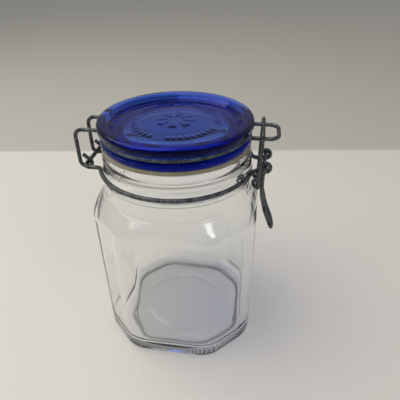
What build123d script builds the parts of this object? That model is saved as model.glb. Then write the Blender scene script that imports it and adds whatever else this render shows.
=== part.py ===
from build123d import *

import os
from math import cos, radians, sin, sqrt

# Clip-top glass storage jar, about one litre: square jar, glass lid, gasket and wire closure.
# Origin at the centre of the base on the resting plane, Z up, +X towards the latch. Millimetres.

# Jar body
half_width = 54.3
flat_half_length = 28.5
edge_rounding = 22.0
heel_radius = 8.0
wall = 4.5
floor_thickness = 7.5
push_up_depth = 2.0
push_up_inset = 15.0
push_up_corner = 27.3
push_up_taper = 40.0
shoulder_radius = 62.0
shoulder_low = 105.0
shoulder_rounding = 12.0
shoulder_top_radius = 50.0
shoulder_top = 118.2
neck_root_rounding = 8.0
neck_radius = 47.6
seat_radius = 48.6
seat_low = 126.2
seat_high = 136.5
bead_radius = 49.6
bead_low = 128.2
bead_high = 132.4
bead_slope = 1.2
mouth_radius = 42.5
throat_flare = 3.0
mouth_height = 149.0
mouth_rounding = 1.5

# Closure wires
wire_radius = 1.25
neck_wire_radius = 1.35
eye_radius = 2.95
bend = 4.0

# Gasket
gasket_thickness = 2.5
gasket_radius = 47.8
gasket_bore_radius = 41.6
gasket_tab_reach = 56.0
gasket_tab_width = 16.0
gasket_tab_bearing = 118.0
gasket_tab_rounding = 3.5
gasket_tab_overlap = 4.0

# Glass lid
lid_radius = 49.0
lid_height = 165.6
lid_flange_radius = 48.0
lid_flange_thickness = 3.2
flange_low_rounding = 0.8
flange_top_rounding = 1.2
lid_groove_radius = 44.7
groove_low_slope = 0.9
groove_top_slope = 1.6
lid_plug_radius = 40.4
lid_plug_depth = 4.0
plug_rounding = 1.2
rim_width = 6.4
rim_height = 6.6
rim_low_rounding = 1.5
rim_outer_rounding = 2.6
rim_inner_rounding = 2.2
lid_thickness = 5.5
hollow_radius = 37.2
hollow_draft = 2.0
hollow_rounding = 2.5
recess_radius = 38.0
recess_depth = 4.0
recess_rounding = 2.0
dome_foot_radius = 30.0
dome_rise = 1.3

# Lid wire
lid_ring_radius = 46.2
lid_ring_height = 157.5
tongue_half_width = 11.0
tongue_tip_x = 64.0
tongue_bend = 6.0
arm_y = 10.75
arm_x = -63.5
arm_bend = 5.0
hook_end_angle = 50.0
hook_stub_length = 5.5

# Neck wire
neck_ring_radius = 50.2
neck_ring_height = 134.5
hinge_x = -58.5
hinge_half_width = 17.0
pivot_x = 57.5
neck_eye_y = 9.5

# Lever
lever_y = 6.2
lever_shank_x = 56.45
shank_top_rise = 2.0
shank_low_drop = 8.0
axle_end_y = 12.4
axle_bend = 2.2
shank_bend = 26.0
handle_bend = 5.0
handle_knee_x = 59.4
handle_knee_z = 103.0
handle_tip_x = 65.4
handle_tip_z = 87.2

# Link
link_half_width = 14.0
link_bar_x = 54.5
link_low_z = 124.0
link_end_y = 4.0
link_bar_bend = 2.5
link_low_bend = 2.2
link_clearance = 0.95

pivot_z = neck_ring_height + eye_radius
lid_base = mouth_height + gasket_thickness
link_bar_z = lid_ring_height + 2 * wire_radius + link_clearance
link_pivot_x = lever_shank_x - eye_radius


def square_column(inset, low, high):
    """The jar's square column with flattened, rounded corners and a rounded foot.

    It lies inset millimetres inside the outside faces.
    """
    side = half_width - inset
    flat = flat_half_length - inset * (sqrt(2) - 1)
    corners = [(side, -flat), (side, flat), (flat, side), (-flat, side)]
    corners += [(-x, -y) for x, y in corners]
    section = make_face(Polyline(*corners, close=True))
    section = fillet(section.vertices(), edge_rounding - inset)
    column = extrude(Pos(0, 0, low) * section, high - low)
    return fillet(column.edges().group_by(Axis.Z)[0], heel_radius)


def shoulder_cone(inset):
    """The round shoulder that cuts the column's four faces off in arches."""
    rise = shoulder_top - shoulder_low
    slope = rise / (shoulder_radius - shoulder_top_radius)
    radius = shoulder_radius - inset
    low = shoulder_low - inset * (sqrt(1 + slope**2) - slope)
    return turned(
        [
            (0, -1),
            (radius, -1),
            (radius, low),
            (shoulder_top_radius - inset, low + rise),
            (0, low + rise),
        ],
        [(radius, low, shoulder_rounding)],
    )


def turned(points, rounds=()):
    """Spin a closed outline of (radius, height) points about the Z axis.

    Each entry of rounds is (radius, height, fillet) and rounds the corner nearest to that place.
    """
    face = make_face(Polyline(*points, close=True))
    for radius, height, size in rounds:
        corner = face.vertices().sort_by_distance((radius, height, 0))[0]
        face = fillet(corner, size)
    return revolve(Plane.XZ * face, Axis.Z)


def wire(edges, radius):
    """A round wire along edges that run on from each other without a corner."""
    path = Wire(edges)
    section = Plane(path @ 0, z_dir=path % 0) * Circle(radius)
    return sweep(section, path)


def wire_eye(x, y, z, radius):
    """A closed eye of wire, flat in the XZ plane."""
    return Pos(x, y, z) * Rot(90, 0, 0) * Torus(eye_radius, radius)


def xz_arc(x, z, radius, start, size, y):
    """An arc about (x, z) in the plane at y, from +X towards +Z."""
    plane = Plane((x, y, z), x_dir=(1, 0, 0), z_dir=(0, -1, 0))
    return plane * CenterArc((0, 0), radius, start, size)


def half_ring(radius, height, rear_y, front_y):
    """The +Y half of a wire ring, from a leg at rear_y round to a leg at front_y.

    Returns the edges and the x of the two leg ends.
    """

    def root(y, side):
        reach = radius + bend
        centre = Vector(side * sqrt(reach**2 - (y + bend) ** 2), y + bend, height)
        on_ring = Vector(centre.X, centre.Y, 0) * (radius / reach) + Vector(0, 0, height)
        on_leg = Vector(centre.X, y, height)
        middle = (on_ring - centre).normalized() + (on_leg - centre).normalized()
        return on_leg, centre + middle.normalized() * bend, on_ring

    rear_leg, rear_middle, rear_ring = root(rear_y, -1)
    front_leg, front_middle, front_ring = root(front_y, 1)
    edges = [
        ThreePointArc(rear_leg, rear_middle, rear_ring),
        ThreePointArc(rear_ring, Vector(0, radius, height), front_ring),
        ThreePointArc(front_ring, front_middle, front_leg),
    ]
    return edges, rear_leg.X, front_leg.X


def both_sides(half):
    """Join a solid on the +Y side to its mirror image."""
    return half + mirror(half, Plane.XZ)


def make_jar_body():
    outside = square_column(0, 0, shoulder_top) & shoulder_cone(0)
    neck = turned(
        [
            (0, shoulder_low),
            (shoulder_top_radius, shoulder_low),
            (shoulder_top_radius, shoulder_top),
            (seat_radius, seat_low),
            (seat_radius, bead_low),
            (bead_radius, bead_low + bead_slope),
            (bead_radius, bead_high - bead_slope),
            (seat_radius, bead_high),
            (seat_radius, seat_high),
            (neck_radius, seat_high + bead_slope),
            (neck_radius, mouth_height),
            (0, mouth_height),
        ],
        [
            (shoulder_top_radius, shoulder_top, neck_root_rounding),
            (neck_radius, mouth_height, mouth_rounding),
        ],
    )
    inside = square_column(wall, floor_thickness, shoulder_top) & shoulder_cone(wall)
    mouth = turned(
        [
            (0, shoulder_low),
            (mouth_radius + throat_flare, shoulder_low),
            (mouth_radius + throat_flare, shoulder_top - wall),
            (mouth_radius, seat_low),
            (mouth_radius, mouth_height + 1),
            (0, mouth_height + 1),
        ]
    )
    push_up_width = 2 * (half_width - push_up_inset)
    push_up = extrude(
        RectangleRounded(push_up_width, push_up_width, push_up_corner),
        push_up_depth,
        taper=push_up_taper,
    )
    return outside + neck - inside - mouth - push_up


def make_gasket():
    flat = Pos(0, 0, mouth_height) * Cylinder(
        gasket_radius, gasket_thickness, align=(Align.CENTER, Align.CENTER, Align.MIN)
    )
    tab_length = gasket_tab_reach - gasket_radius + gasket_tab_overlap
    tab = Pos(gasket_tab_reach - tab_length / 2, 0, mouth_height) * extrude(
        RectangleRounded(tab_length, gasket_tab_width, gasket_tab_rounding), gasket_thickness
    )
    bore = Pos(0, 0, mouth_height) * Cylinder(gasket_bore_radius, 4 * gasket_thickness)
    return flat + Rot(0, 0, gasket_tab_bearing) * tab - bore


def make_lid_glass():
    plug_low = lid_base - lid_plug_depth
    flange_top = lid_base + lid_flange_thickness
    groove_high = lid_height - rim_height
    rim_inner = lid_radius - rim_width
    recess_floor = lid_height - recess_depth
    hollow_top = recess_floor - lid_thickness
    hollow_top_radius = hollow_radius - hollow_draft
    section = turned(
        [
            (0, hollow_top),
            (hollow_top_radius, hollow_top),
            (hollow_radius, plug_low),
            (lid_plug_radius, plug_low),
            (lid_plug_radius, lid_base),
            (lid_flange_radius, lid_base),
            (lid_flange_radius, flange_top),
            (lid_groove_radius, flange_top + groove_low_slope),
            (lid_groove_radius, groove_high),
            (lid_radius, groove_high + groove_top_slope),
            (lid_radius, lid_height),
            (rim_inner, lid_height),
            (recess_radius, recess_floor),
            (0, recess_floor),
        ],
        [
            (hollow_top_radius, hollow_top, hollow_rounding),
            (hollow_radius, plug_low, plug_rounding),
            (lid_plug_radius, plug_low, plug_rounding),
            (lid_flange_radius, lid_base, flange_low_rounding),
            (lid_flange_radius, flange_top, flange_top_rounding),
            (lid_radius, groove_high + groove_top_slope, rim_low_rounding),
            (lid_radius, lid_height, rim_outer_rounding),
            (rim_inner, lid_height, rim_inner_rounding),
            (recess_radius, recess_floor, recess_rounding),
        ],
    )
    dome_radius = (dome_foot_radius**2 + dome_rise**2) / (2 * dome_rise)
    dome = Pos(0, 0, recess_floor + dome_rise - dome_radius) * Sphere(dome_radius)
    cap = Pos(0, 0, recess_floor - 1) * Cylinder(
        dome_foot_radius, 1 + 2 * dome_rise, align=(Align.CENTER, Align.CENTER, Align.MIN)
    )
    return section + (dome & cap)


def make_lid_wire():
    ring, rear_x, front_x = half_ring(lid_ring_radius, lid_ring_height, arm_y, tongue_half_width)
    arm_foot = neck_ring_height - eye_radius
    tongue = FilletPolyline(
        (front_x, tongue_half_width, lid_ring_height),
        (tongue_tip_x, tongue_half_width, lid_ring_height),
        (tongue_tip_x, 0, lid_ring_height),
        radius=tongue_bend,
    )
    hook_centre = Vector(hinge_x, arm_y, neck_ring_height)
    angle = radians(hook_end_angle)
    hook_end = hook_centre + Vector(cos(angle), 0, sin(angle)) * eye_radius
    stub_end = hook_end + Vector(-sin(angle), 0, cos(angle)) * hook_stub_length
    arm = [
        Line(stub_end, hook_end),
        xz_arc(hinge_x, neck_ring_height, eye_radius, hook_end_angle, -90 - hook_end_angle, arm_y),
        Line((hinge_x, arm_y, arm_foot), (arm_x + bend, arm_y, arm_foot)),
        xz_arc(arm_x + bend, arm_foot + bend, bend, -90, -90, arm_y),
        Line((arm_x, arm_y, arm_foot + bend), (arm_x, arm_y, lid_ring_height - arm_bend)),
        xz_arc(arm_x + arm_bend, lid_ring_height - arm_bend, arm_bend, 180, -90, arm_y),
        Line((arm_x + arm_bend, arm_y, lid_ring_height), (rear_x, arm_y, lid_ring_height)),
    ]
    return both_sides(wire(arm + ring + tongue.edges(), wire_radius))


def make_neck_wire():
    ring, rear_x, front_x = half_ring(
        neck_ring_radius, neck_ring_height, hinge_half_width, neck_eye_y
    )
    hinge_bow = FilletPolyline(
        (hinge_x, 0, neck_ring_height),
        (hinge_x, hinge_half_width, neck_ring_height),
        (rear_x, hinge_half_width, neck_ring_height),
        radius=bend,
    )
    front_leg = Line((front_x, neck_eye_y, neck_ring_height), (pivot_x, neck_eye_y, neck_ring_height))
    half = wire(hinge_bow.edges() + ring + [front_leg], neck_wire_radius)
    return both_sides(half + wire_eye(pivot_x, neck_eye_y, pivot_z, neck_wire_radius))


def make_latch_lever():
    path = FilletPolyline(
        (pivot_x, axle_end_y, pivot_z),
        (pivot_x, lever_y, pivot_z),
        (lever_shank_x, lever_y, link_low_z + eye_radius + shank_top_rise),
        (lever_shank_x, lever_y, link_low_z - shank_low_drop),
        (handle_knee_x, lever_y, handle_knee_z),
        (handle_tip_x, lever_y, handle_tip_z),
        (handle_tip_x, 0, handle_tip_z),
        radius=[axle_bend, shank_bend, shank_bend, shank_bend, handle_bend],
    )
    half = wire(path.edges(), wire_radius)
    return both_sides(half + wire_eye(link_pivot_x, lever_y, link_low_z, wire_radius))


def make_latch_link():
    path = FilletPolyline(
        (link_bar_x, 0, link_bar_z),
        (link_bar_x, link_half_width, link_bar_z),
        (link_pivot_x, link_half_width, link_low_z),
        (link_pivot_x, link_end_y, link_low_z),
        radius=[link_bar_bend, link_low_bend],
    )
    return both_sides(wire(path.edges(), wire_radius))


nodes = {
    "jar_body": make_jar_body,
    "gasket": make_gasket,
    "lid_glass": make_lid_glass,
    "lid_wire": make_lid_wire,
    "neck_wire": make_neck_wire,
    "latch_lever": make_latch_lever,
    "latch_link": make_latch_link,
}

os.makedirs("parts", exist_ok=True)
for name, make in nodes.items():
    shape = make()
    print(name, len(shape.solids()), shape.is_valid, round(shape.volume), shape.bounding_box())
    export_step(shape, f"parts/{name}.step")
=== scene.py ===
import math

import bmesh
import bpy
from mathutils import Matrix, Vector


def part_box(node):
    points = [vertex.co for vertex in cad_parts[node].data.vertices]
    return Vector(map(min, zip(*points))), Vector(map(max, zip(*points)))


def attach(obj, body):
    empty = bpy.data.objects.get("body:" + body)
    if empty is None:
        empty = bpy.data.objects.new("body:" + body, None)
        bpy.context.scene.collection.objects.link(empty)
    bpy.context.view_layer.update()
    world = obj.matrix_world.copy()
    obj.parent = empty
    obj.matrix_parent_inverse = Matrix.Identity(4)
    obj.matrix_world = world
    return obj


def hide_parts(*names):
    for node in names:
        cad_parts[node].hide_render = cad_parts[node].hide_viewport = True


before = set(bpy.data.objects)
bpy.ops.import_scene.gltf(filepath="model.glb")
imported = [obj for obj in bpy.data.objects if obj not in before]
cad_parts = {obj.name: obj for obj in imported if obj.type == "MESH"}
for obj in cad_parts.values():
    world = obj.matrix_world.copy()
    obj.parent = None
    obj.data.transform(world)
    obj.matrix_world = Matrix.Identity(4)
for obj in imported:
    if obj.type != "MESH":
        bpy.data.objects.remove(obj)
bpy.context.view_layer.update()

mm = 0.001


# small helpers for colours, nodes and pieces

def linear(hexColour):
    # sRGB hex to the linear colour that a shader socket takes
    value = hexColour.lstrip("#")
    channels = [int(value[i:i + 2], 16) / 255 for i in (0, 2, 4)]
    out = [c / 12.92 if c <= 0.04045 else ((c + 0.055) / 1.055) ** 2.4 for c in channels]
    return (*out, 1.0)


def addNode(tree, kind, settings=None, values=None, links=None):
    # one node with its settings, its plain values and the sockets that feed it
    node = tree.nodes.new(kind)
    for name, value in (settings or {}).items():
        setattr(node, name, value)
    for name, value in (values or {}).items():
        node.inputs[name].default_value = value
    for name, socket in (links or {}).items():
        tree.links.new(socket, node.inputs[name])
    return node


def newMaterial(name):
    material = bpy.data.materials.new(name)
    material.use_nodes = True
    tree = material.node_tree
    tree.nodes.clear()
    out = addNode(tree, "ShaderNodeOutputMaterial")
    coords = addNode(tree, "ShaderNodeTexCoord")
    return material, tree, out, coords.outputs["Object"]


def toPiece(bm, name, material, body, nodes=(), sharpAngle=50):
    # one finished piece: merged, facing outwards, smooth except at its sharp edges
    bmesh.ops.remove_doubles(bm, verts=bm.verts, dist=1e-6)
    bmesh.ops.recalc_face_normals(bm, faces=bm.faces)
    mesh = bpy.data.meshes.new(name)
    bm.to_mesh(mesh)
    bm.free()
    piece = bpy.data.objects.new(name, mesh)
    bpy.context.scene.collection.objects.link(piece)
    mesh.materials.append(material)
    mesh.shade_smooth()
    mesh.set_sharp_from_angle(angle=math.radians(sharpAngle))
    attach(piece, body)
    if nodes:
        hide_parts(*nodes)
    return piece


def outline(bm, points, segments=7):
    # an open outline in the XZ plane: each point is its distance from the axis, its height and,
    # where its corner is rounded, the rounding's radius, all in millimetres
    verts = [bm.verts.new((point[0] * mm, 0, point[1] * mm)) for point in points]
    for a, b in zip(verts, verts[1:]):
        bm.edges.new((a, b))
    for index, point in enumerate(points):
        if len(point) < 3:
            continue
        a, b, c = (Vector(points[index + step][:2]) for step in (-1, 0, 1))
        half = (a - b).angle(c - b) / 2
        bmesh.ops.bevel(
            bm, geom=[verts[index]], offset=point[2] * mm / math.tan(half), offset_type="OFFSET",
            segments=segments, profile=0.5, affect="VERTICES", material=-1,
        )


def divideLong(bm, longest):
    # cuts every straight run of the outline into steps no longer than longest
    for edge in list(bm.edges):
        cuts = int(edge.calc_length() / longest)
        if cuts:
            bmesh.ops.subdivide_edges(bm, edges=[edge], cuts=cuts)


def spinFull(bm, steps):
    bmesh.ops.spin(
        bm, geom=list(bm.verts) + list(bm.edges), cent=(0, 0, 0), axis=(0, 0, 1),
        angle=math.tau, steps=steps, use_merge=True,
    )


def smoothMin(a, b, blend):
    # the smaller of two lengths, with the corner between them eased over blend
    h = max(blend - abs(a - b), 0) / blend
    return min(a, b) - h * h * blend / 4


def easeStep(low, high, value):
    t = min(max((value - low) / (high - low), 0), 1)
    return t * t * (3 - 2 * t)


# materials

clearGlass = {
    "tint": "#fcfdfd",
    "shadowTint": "#dadada",   # what one surface lets through of the light that casts shadows
    "barPaintedShade": "#9aa0a2",    # painted shade: grey that darkens the bars under the foot; their rubbing on every shelf shows only as roughness
    "ior": 1.52,
    "waveSize": 22,            # mm between the slow waves that pressing leaves
    "waveDepth": 0.05,         # mm
    "scuffRoughness": 0.4,
}


def makeClearGlass(name, roughness, tint):
    # soda-lime glass, pressed and fire polished: nearly colourless and slightly wavy; the grey tint given
    # for the foot bars is painted shade
    material, tree, out, place = newMaterial(name)
    waves = addNode(
        tree, "ShaderNodeTexNoise",
        values={"Scale": 1 / (clearGlass["waveSize"] * mm), "Detail": 1.0, "Roughness": 0.4},
        links={"Vector": place},
    )
    bump = addNode(
        tree, "ShaderNodeBump",
        values={"Strength": 0.5, "Distance": clearGlass["waveDepth"] * mm},
        links={"Height": waves.outputs["Fac"]},
    )
    glass = addNode(
        tree, "ShaderNodeBsdfPrincipled",
        values={
            "Base Color": linear(tint), "Roughness": roughness,
            "IOR": clearGlass["ior"], "Transmission Weight": 1.0,
        },
        links={"Normal": bump.outputs["Normal"]},
    )
    letThrough = addNode(
        tree, "ShaderNodeBsdfTransparent", values={"Color": linear(clearGlass["shadowTint"])}
    )
    path = addNode(tree, "ShaderNodeLightPath")
    mix = addNode(tree, "ShaderNodeMixShader", links={"Fac": path.outputs["Is Shadow Ray"]})
    tree.links.new(glass.outputs[0], mix.inputs[1])
    tree.links.new(letThrough.outputs[0], mix.inputs[2])
    tree.links.new(mix.outputs[0], out.inputs["Surface"])
    return material


blueGlass = {
    "tint": "#f2f4ff",
    "sheen": "#7383ff",       # the tone of its reflections
    "ior": 1.52,
    "absorbColour": (0.12, 0.43, 0.92, 1.0),
    "absorbDensity": 430.0,   # per metre: 5 mm of glass lets about 30% of the green through
    "waveSize": 14,
    "waveDepth": 0.08,
}


def makeBlueGlass():
    # cobalt glass, pressed: the colour is in its depth, so thick edges go nearly black-blue
    material, tree, out, place = newMaterial("cobalt_glass_pressed")
    waves = addNode(
        tree, "ShaderNodeTexNoise",
        values={"Scale": 1 / (blueGlass["waveSize"] * mm), "Detail": 2.0, "Roughness": 0.45},
        links={"Vector": place},
    )
    bump = addNode(
        tree, "ShaderNodeBump",
        values={"Strength": 0.5, "Distance": blueGlass["waveDepth"] * mm},
        links={"Height": waves.outputs["Fac"]},
    )
    glass = addNode(
        tree, "ShaderNodeBsdfPrincipled",
        values={
            "Base Color": linear(blueGlass["tint"]), "Roughness": 0.02, "IOR": blueGlass["ior"],
            "Transmission Weight": 1.0, "Specular Tint": linear(blueGlass["sheen"]),
        },
        links={"Normal": bump.outputs["Normal"]},
    )
    letThrough = addNode(tree, "ShaderNodeBsdfTransparent")
    path = addNode(tree, "ShaderNodeLightPath")
    mix = addNode(tree, "ShaderNodeMixShader", links={"Fac": path.outputs["Is Shadow Ray"]})
    tree.links.new(glass.outputs[0], mix.inputs[1])
    tree.links.new(letThrough.outputs[0], mix.inputs[2])
    depth = addNode(
        tree, "ShaderNodeVolumeAbsorption",
        values={"Color": blueGlass["absorbColour"], "Density": blueGlass["absorbDensity"]},
    )
    tree.links.new(mix.outputs[0], out.inputs["Surface"])
    tree.links.new(depth.outputs[0], out.inputs["Volume"])
    return material


rubber = {"pale": "#a0977d", "dark": "#877f66", "grain": 0.5, "mottle": 9}


def makeGasketRubber():
    # natural rubber, moulded: matt and slightly dusty, a little darker in patches
    material, tree, out, place = newMaterial("natural_rubber_moulded")
    mottle = addNode(
        tree, "ShaderNodeTexNoise",
        values={"Scale": 1 / (rubber["mottle"] * mm), "Detail": 4.0, "Roughness": 0.6},
        links={"Vector": place},
    )
    colour = addNode(tree, "ShaderNodeValToRGB", links={"Fac": mottle.outputs["Fac"]})
    colour.color_ramp.elements[0].position = 0.3
    colour.color_ramp.elements[0].color = linear(rubber["dark"])
    colour.color_ramp.elements[1].position = 0.7
    colour.color_ramp.elements[1].color = linear(rubber["pale"])
    grain = addNode(
        tree, "ShaderNodeTexNoise",
        values={"Scale": 1 / (rubber["grain"] * mm), "Detail": 2.0},
        links={"Vector": place},
    )
    bump = addNode(
        tree, "ShaderNodeBump", values={"Strength": 0.4, "Distance": 0.05 * mm},
        links={"Height": grain.outputs["Fac"]},
    )
    skin = addNode(
        tree, "ShaderNodeBsdfPrincipled",
        values={"Roughness": 0.62, "IOR": 1.5, "Subsurface Weight": 0.08, "Subsurface Scale": 1 * mm},
        links={"Base Color": colour.outputs["Color"], "Normal": bump.outputs["Normal"]},
    )
    tree.links.new(skin.outputs[0], out.inputs["Surface"])
    return material


zinc = {
    "dark": "#303334",
    "pale": "#7b8080",
    "patch": 3.0,     # mm across the dulled patches
    "grit": 0.6,      # mm between the small lumps of the coating, drawn coarse enough to show
    "lump": 0.14,     # mm high
}


def makeZincWire():
    # spring steel wire, zinc coated and dulled: dark grey, lumpy and uneven, with broken highlights
    material, tree, out, place = newMaterial("spring_wire_zinc_dulled")
    patches = addNode(
        tree, "ShaderNodeTexNoise",
        values={"Scale": 1 / (zinc["patch"] * mm), "Detail": 5.0, "Roughness": 0.65},
        links={"Vector": place},
    )
    colour = addNode(tree, "ShaderNodeValToRGB", links={"Fac": patches.outputs["Fac"]})
    colour.color_ramp.elements[0].position = 0.36
    colour.color_ramp.elements[0].color = linear(zinc["dark"])
    colour.color_ramp.elements[1].position = 0.68
    colour.color_ramp.elements[1].color = linear(zinc["pale"])
    rough = addNode(
        tree, "ShaderNodeMapRange",
        values={"From Min": 0.3, "From Max": 0.7, "To Min": 0.34, "To Max": 0.58},
        links={"Value": patches.outputs["Fac"]},
    )
    grit = addNode(
        tree, "ShaderNodeTexNoise",
        values={"Scale": 1 / (zinc["grit"] * mm), "Detail": 3.0, "Roughness": 0.6},
        links={"Vector": place},
    )
    bump = addNode(
        tree, "ShaderNodeBump", values={"Strength": 0.6, "Distance": zinc["lump"] * mm},
        links={"Height": grit.outputs["Fac"]},
    )
    coat = addNode(
        tree, "ShaderNodeBsdfPrincipled", values={"Metallic": 0.9},
        links={
            "Base Color": colour.outputs["Color"], "Roughness": rough.outputs["Result"],
            "Normal": bump.outputs["Normal"],
        },
    )
    tree.links.new(coat.outputs[0], out.inputs["Surface"])
    return material


clearGlassMaterial = makeClearGlass("soda_lime_glass_pressed", 0.0, clearGlass["tint"])
# the bars' glass: roughened by wear, and tinted grey as painted shade so that they read darker
scuffedShadedGlassMaterial = makeClearGlass(
    "soda_lime_glass_scuffed_painted_shade", clearGlass["scuffRoughness"], clearGlass["barPaintedShade"]
)
blueGlassMaterial = makeBlueGlass()
rubberMaterial = makeGasketRubber()
zincMaterial = makeZincWire()
print("materials made")


# the jar: a round skin spun from its outline, then drawn in to the four flattened sides

jar = {
    "halfWidth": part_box("jar_body")[1][0] / mm,
    "top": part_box("jar_body")[1][2] / mm,
    "cornerFace": 58.55,    # mm from the axis to the narrow corner faces
    "cornerEase": 7.0,      # mm, how softly the faces meet
    "shoulderEase": 2.5,    # mm, how softly the round shoulder meets the faces
    "wideRadius": 64.0,     # mm, the spun wall before it is drawn in
    "wall": 4.5,
    "floor": 7.5,
    "mouthRadius": 42.5,
    "rimMiddle": 45.05,     # mm, where the outside and inside skins meet on the rim
    "columnTop": 90,        # mm, above which the shoulder rounds the column off
    "drawFrom": 38,         # mm from the axis, where the foot starts to follow the column
    "drawTo": 50,
    "ridge": 48.2,          # mm, radius of the pressed line round the upper neck
    "longestStep": 4,       # mm between the rings of points
    "steps": 192,
    "foot": 0.1,
    "underside": 2.0,       # mm, height of the pushed-up base inside the foot
}


def columnRadius(angle, inset):
    # distance from the axis to the square column's face in one direction
    quarter = math.pi / 2
    folded = abs((angle + quarter / 2) % quarter - quarter / 2)
    face = (jar["halfWidth"] - inset) / math.cos(folded)
    corner = (jar["cornerFace"] - inset) / math.cos(quarter / 2 - folded)
    return smoothMin(face, corner, jar["cornerEase"])


def drawIn(bm, inset):
    # takes the round skin to the square column, and leaves the neck and the foot's centre round
    wide = jar["wideRadius"] - inset
    for vert in bm.verts:
        radius = vert.co.xy.length / mm
        if radius < 1e-3:
            continue
        column = columnRadius(math.atan2(vert.co.y, vert.co.x), inset)
        if vert.co.z < jar["columnTop"] * mm:
            share = easeStep(jar["drawFrom"], jar["drawTo"], radius)
            target = radius * (1 + (column / wide - 1) * share)
        else:
            target = smoothMin(radius, column, jar["shoulderEase"])
        vert.co.xy *= target / radius


def jarSkin(points, inset):
    bm = bmesh.new()
    outline(bm, points)
    divideLong(bm, jar["longestStep"] * mm)
    spinFull(bm, jar["steps"])
    drawIn(bm, inset)
    mesh = bpy.data.meshes.new("skin")
    bm.to_mesh(mesh)
    bm.free()
    return mesh


def makeJar():
    wide = jar["wideRadius"]
    inner = wide - jar["wall"]
    top = jar["top"]
    foot = jar["foot"]
    under = jar["underside"]
    rim = jar["rimMiddle"]
    mouth = jar["mouthRadius"]
    ridge = jar["ridge"]
    floor = jar["floor"]
    base = [
        (0, under + 0.2), (28.6, under + 0.2), (29.5, 1.8), (30.5, 1.8), (31.4, under + 0.1),
        (46, under, 2), (49.5, foot, 2),
    ]
    column = [(wide, foot, 7), (wide, 102.8, 7), (50, 118.2, 8)]
    bead = [
        (48.6, 126.2), (48.6, 128.2), (49.6, 129.4, 0.7), (49.6, 131.2, 0.7), (48.6, 132.4),
        (48.6, 136.5), (47.4, 138.2, 0.5),
    ]
    neck = [
        (47.3, 141.2), (ridge, 142.2, 0.5), (ridge, 143.4, 0.5), (47.3, 144.4), (47.6, top, 1.5),
        (rim, top),
    ]
    inside = [
        (rim, top), (mouth, top, 1.5), (mouth, 124, 12), (44.6, 115.6, 7), (inner, 99.4, 7),
        (inner, floor, 6.5), (22, floor, 60), (0, floor + 0.8),
    ]
    bm = bmesh.new()
    bm.from_mesh(jarSkin(base + column + bead + neck, 0))
    bm.from_mesh(jarSkin(inside, jar["wall"]))
    return toPiece(bm, "jar_glass", clearGlassMaterial, "jar", ["jar_body"])


footBars = {
    "count": 120,
    "size": (3.2, 1.2, 0.9),    # mm, outwards, along and up
    "place": 0.775,             # share of the way from the axis to the jar's faces
    "easing": 0.14,
}


def makeFootBars():
    # the ring of short bars pressed into the underside
    bm = bmesh.new()
    shape = Matrix.Diagonal((*(length * mm for length in footBars["size"]), 1))
    middle = (jar["underside"] - footBars["size"][2] / 2) * mm
    for index in range(footBars["count"]):
        angle = math.tau * (index + 0.5) / footBars["count"]
        radius = footBars["place"] * columnRadius(angle, 0) * mm
        place = Matrix.Rotation(angle, 4, "Z") @ Matrix.Translation((radius, 0, middle))
        bar = bmesh.ops.create_cube(bm, size=1, matrix=place @ shape)["verts"]
        bmesh.ops.bevel(
            bm, geom=list({e for v in bar if v.co.z < middle for e in v.link_edges}),
            offset=footBars["easing"] * mm, offset_type="OFFSET", segments=2, profile=0.5,
            affect="EDGES", material=-1,
        )
    # the bars take the rough glass whose grey tint is painted shade
    return toPiece(bm, "jar_foot_bars", scuffedShadedGlassMaterial, "jar")


makeJar()
makeFootBars()
print("jar made")


# the lid

lid = {
    "top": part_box("lid_glass")[1][2] / mm,
    "low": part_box("lid_glass")[0][2] / mm,
    "radius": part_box("lid_glass")[1][0] / mm,
    "steps": 176,
    "domeRadius": 30,
    "domeRise": 1.3,
    "reliefRise": 0.2,
    "petals": 8,            # of the raised rosette in the middle
    "petalRing": (5.3, 12.3),
    "dashRing": (24.4, 28.4),
    "dashPitch": 4,         # steps of the spin from one raised dash to the next
    "dashGroup": 11,        # dashes in a quarter
    "dashKept": 9,          # of them, the rest left out as a gap
    "petalShare": 0.1,      # cosine above which a direction belongs to a petal
    "flange": 4,            # mm, the flange's underside above the plug's end
    "recess": 4,            # mm below the rim
    "thickness": 5.5,
    "groove": 44.7,
    "longestStep": 3,       # mm between the rings of points
}


def raiseRelief(bm):
    # a plain pressed ornament on the dome: a rosette, and four groups of short dashes round it
    step = math.tau / lid["steps"]
    floor = (lid["top"] - lid["recess"] - 2) * mm   # below the recess, above the underside
    for vert in bm.verts:
        radius = vert.co.xy.length / mm
        if vert.co.z < floor or radius > lid["domeRadius"]:
            continue
        angle = math.atan2(vert.co.y, vert.co.x) % math.tau
        index = round(angle / step)
        number = index // lid["dashPitch"] % lid["dashGroup"]
        inPetal = lid["petalRing"][0] < radius < lid["petalRing"][1]
        inDash = lid["dashRing"][0] < radius < lid["dashRing"][1]
        if inPetal and math.cos(lid["petals"] * angle) > lid["petalShare"]:
            vert.co.z += lid["reliefRise"] * mm
        if inDash and index % lid["dashPitch"] < 2 and number < lid["dashKept"]:
            vert.co.z += lid["reliefRise"] * mm


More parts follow.
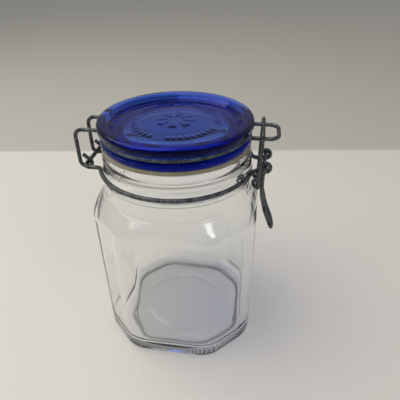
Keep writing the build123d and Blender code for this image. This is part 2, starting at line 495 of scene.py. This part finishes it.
def makeLid():
    top = lid["top"]
    low = lid["low"]
    wide = lid["radius"]
    groove = lid["groove"]
    base = low + lid["flange"]
    recess = top - lid["recess"]
    hollow = recess - lid["thickness"]
    edge = lid["domeRadius"]
    rings = (0, 5, 5.6, 12, 12.6, 16, 20, 24.2, 24.7, 28.1, 28.6)   # close together at the relief's sides
    dome = [(r, recess + lid["domeRise"] * (1 - (r / edge) ** 2)) for r in rings]
    rim = [
        (edge, recess), (38, recess, 2.0), (wide - 6.4, top, 2.2), (wide, top, 2.6),
        (wide, top - 5.0, 1.6), (groove, top - 6.6, 0.8), (groove, base + 4.1, 0.6),
    ]
    flange = [(48, base + 3.2, 1.2), (48, base, 0.8), (40.4, base, 0.6)]
    plug = [(40.4, low, 1.2), (37.2, low, 1.2), (35.2, hollow, 2.5), (0, hollow)]
    bm = bmesh.new()
    outline(bm, dome + rim + flange + plug)
    divideLong(bm, lid["longestStep"] * mm)
    spinFull(bm, lid["steps"])
    raiseRelief(bm)
    return toPiece(bm, "lid_blue_glass", blueGlassMaterial, "lid", ["lid_glass"])


makeLid()
print("lid made")


# the gasket

gasket = {
    "low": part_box("gasket")[0][2] / mm,
    "high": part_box("gasket")[1][2] / mm,
    "outer": 47.8,
    "inner": 41.6,
    "tabBearing": 118,
    "tabReach": 55.8,
    "tabWidth": 15.6,
    "tabOverlap": 3,      # mm that the tab runs into the ring
    "tabRounding": 3.5,
    "tabThinner": 0.1,    # mm less than the ring's thickness
    "steps": 160,
}


def makeGasket():
    low = gasket["low"]
    high = gasket["high"]
    inner = gasket["inner"]
    outer = gasket["outer"]
    bm = bmesh.new()
    middle = (inner + outer) / 2
    points = [
        (middle, low), (outer, low, 0.7), (outer, high, 0.7), (inner, high, 0.5), (inner, low, 0.5),
        (middle, low),
    ]
    outline(bm, points, segments=4)
    spinFull(bm, gasket["steps"])
    start = outer - gasket["tabOverlap"]
    long = gasket["tabReach"] - start
    thick = high - low - gasket["tabThinner"]
    place = (
        Matrix.Rotation(math.radians(gasket["tabBearing"]), 4, "Z")
        @ Matrix.Translation(((start + long / 2) * mm, 0, (low + high) / 2 * mm))
        @ Matrix.Diagonal((long * mm, gasket["tabWidth"] * mm, thick * mm, 1))
    )
    tab = bmesh.ops.create_cube(bm, size=1, matrix=place)["verts"]
    upright = {e for v in tab for e in v.link_edges if abs(e.verts[0].co.z - e.verts[1].co.z) > mm}
    far = [e for e in upright if e.verts[0].co.xy.length > outer * mm]
    bmesh.ops.bevel(
        bm, geom=far, offset=gasket["tabRounding"] * mm, offset_type="OFFSET", segments=6, profile=0.5,
        affect="EDGES", material=-1,
    )
    return toPiece(bm, "gasket_ring", rubberMaterial, "lid", ["gasket"])


makeGasket()
for node in ("lid_wire", "neck_wire", "latch_lever", "latch_link"):
    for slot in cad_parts[node].material_slots:
        slot.material = zincMaterial
print("gasket and wires made")


# floor, light and camera

room = {
    "size": 2.5,          # metres from the middle of the floor to its edge
    "floorTone": "#e2e0db",
    "backTone": "#c3c1ba",
    "backLine": 287,      # mm behind the jar where the table ends
    "edgeBlend": 3,       # mm either side of that line
    "turn": 7.5,          # degrees that the jar is turned from the table's edge
    "horizon": "#a8a6a1",
    "overhead": "#dedddb",
    "overheadFrom": 0.7,
    "skyStrength": 0.56,
}


def makeFloor():
    material, tree, out, place = newMaterial("table_laminate_matt")
    turned = addNode(
        tree, "ShaderNodeMapping", values={"Rotation": (0, 0, -math.radians(room["turn"]))},
        links={"Vector": place},
    )
    apart = addNode(tree, "ShaderNodeSeparateXYZ", links={"Vector": turned.outputs["Vector"]})
    edge = addNode(
        tree, "ShaderNodeMapRange",
        values={
            "From Min": (room["backLine"] - room["edgeBlend"]) * mm,
            "From Max": (room["backLine"] + room["edgeBlend"]) * mm,
        },
        links={"Value": apart.outputs["Y"]},
    )
    tone = addNode(
        tree, "ShaderNodeMix", settings={"data_type": "RGBA"}, links={"Factor": edge.outputs["Result"]}
    )
    for socket in tone.inputs:
        if socket.type == "RGBA" and socket.name == "A":
            socket.default_value = linear(room["floorTone"])
        if socket.type == "RGBA" and socket.name == "B":
            socket.default_value = linear(room["backTone"])
    colour = next(s for s in tone.outputs if s.type == "RGBA")
    surface = addNode(
        tree, "ShaderNodeBsdfPrincipled", values={"Roughness": 0.55}, links={"Base Color": colour}
    )
    tree.links.new(surface.outputs[0], out.inputs["Surface"])
    bm = bmesh.new()
    bmesh.ops.create_grid(bm, x_segments=2, y_segments=2, size=room["size"])
    mesh = bpy.data.meshes.new("floor")
    bm.to_mesh(mesh)
    bm.free()
    floor = bpy.data.objects.new("floor", mesh)
    mesh.materials.append(material)
    bpy.context.scene.collection.objects.link(floor)


softboxes = {
    "ceiling_panel": {"place": (-0.52, -0.05, 1.0), "size": (1.1, 1.1), "power": 8.5, "tone": "#fffaf2"},
    "window": {"place": (0.7, -0.5, 0.82), "size": (0.13, 0.42), "power": 0.9, "tone": "#f6f9ff"},
}


def addSoftbox(name, place, size, power, tone):
    light = bpy.data.lights.new(name, "AREA")
    light.shape = "RECTANGLE"
    light.size = size[0]
    light.size_y = size[1]
    light.energy = power
    light.color = linear(tone)[:3]
    lamp = bpy.data.objects.new(name, light)
    lamp.location = place
    aim = Vector((0, 0, 80 * mm)) - Vector(place)
    lamp.rotation_euler = aim.to_track_quat("-Z", "Y").to_euler()
    bpy.context.scene.collection.objects.link(lamp)


def makeWorld():
    world = bpy.data.worlds.new("room")
    bpy.context.scene.world = world
    world.use_nodes = True
    tree = world.node_tree
    tree.nodes.clear()
    out = addNode(tree, "ShaderNodeOutputWorld")
    coords = addNode(tree, "ShaderNodeTexCoord")
    apart = addNode(tree, "ShaderNodeSeparateXYZ", links={"Vector": coords.outputs["Generated"]})
    ramp = addNode(tree, "ShaderNodeValToRGB", links={"Fac": apart.outputs["Z"]})
    ramp.color_ramp.elements[0].position = 0.0
    ramp.color_ramp.elements[0].color = linear(room["horizon"])
    ramp.color_ramp.elements[1].position = room["overheadFrom"]
    ramp.color_ramp.elements[1].color = linear(room["overhead"])
    back = addNode(
        tree, "ShaderNodeBackground", values={"Strength": room["skyStrength"]},
        links={"Color": ramp.outputs["Color"]},
    )
    tree.links.new(back.outputs[0], out.inputs["Surface"])


camera = {
    "place": (50.45, -227.6, 255.3),   # mm
    "heading": -8.97,                  # degrees from +Y towards +X
    "tilt": 33.36,                     # degrees down
    "roll": 0.91,
    "lens": 35.3,
}


def makeCamera():
    heading = math.radians(camera["heading"])
    tilt = math.radians(camera["tilt"])
    roll = math.radians(camera["roll"])
    level = math.cos(tilt)
    ahead = Vector((math.sin(heading) * level, math.cos(heading) * level, -math.sin(tilt)))
    right = Vector((math.cos(heading), -math.sin(heading), 0))
    down = ahead.cross(right)
    turnedRight = math.cos(roll) * right + math.sin(roll) * down
    turnedDown = -math.sin(roll) * right + math.cos(roll) * down
    data = bpy.data.cameras.new("camera")
    data.lens = camera["lens"]
    data.sensor_width = 36
    data.clip_start = 0.01
    eye = bpy.data.objects.new("camera", data)
    axes = Matrix((turnedRight, -turnedDown, -ahead)).transposed().to_4x4()
    eye.matrix_world = Matrix.Translation(Vector(camera["place"]) * mm) @ axes
    bpy.context.scene.collection.objects.link(eye)
    bpy.context.scene.camera = eye


bpy.context.scene.view_settings.view_transform = "Standard"
makeFloor()
makeWorld()
for name, box in softboxes.items():
    addSoftbox(name, **box)
makeCamera()
print("stage made")
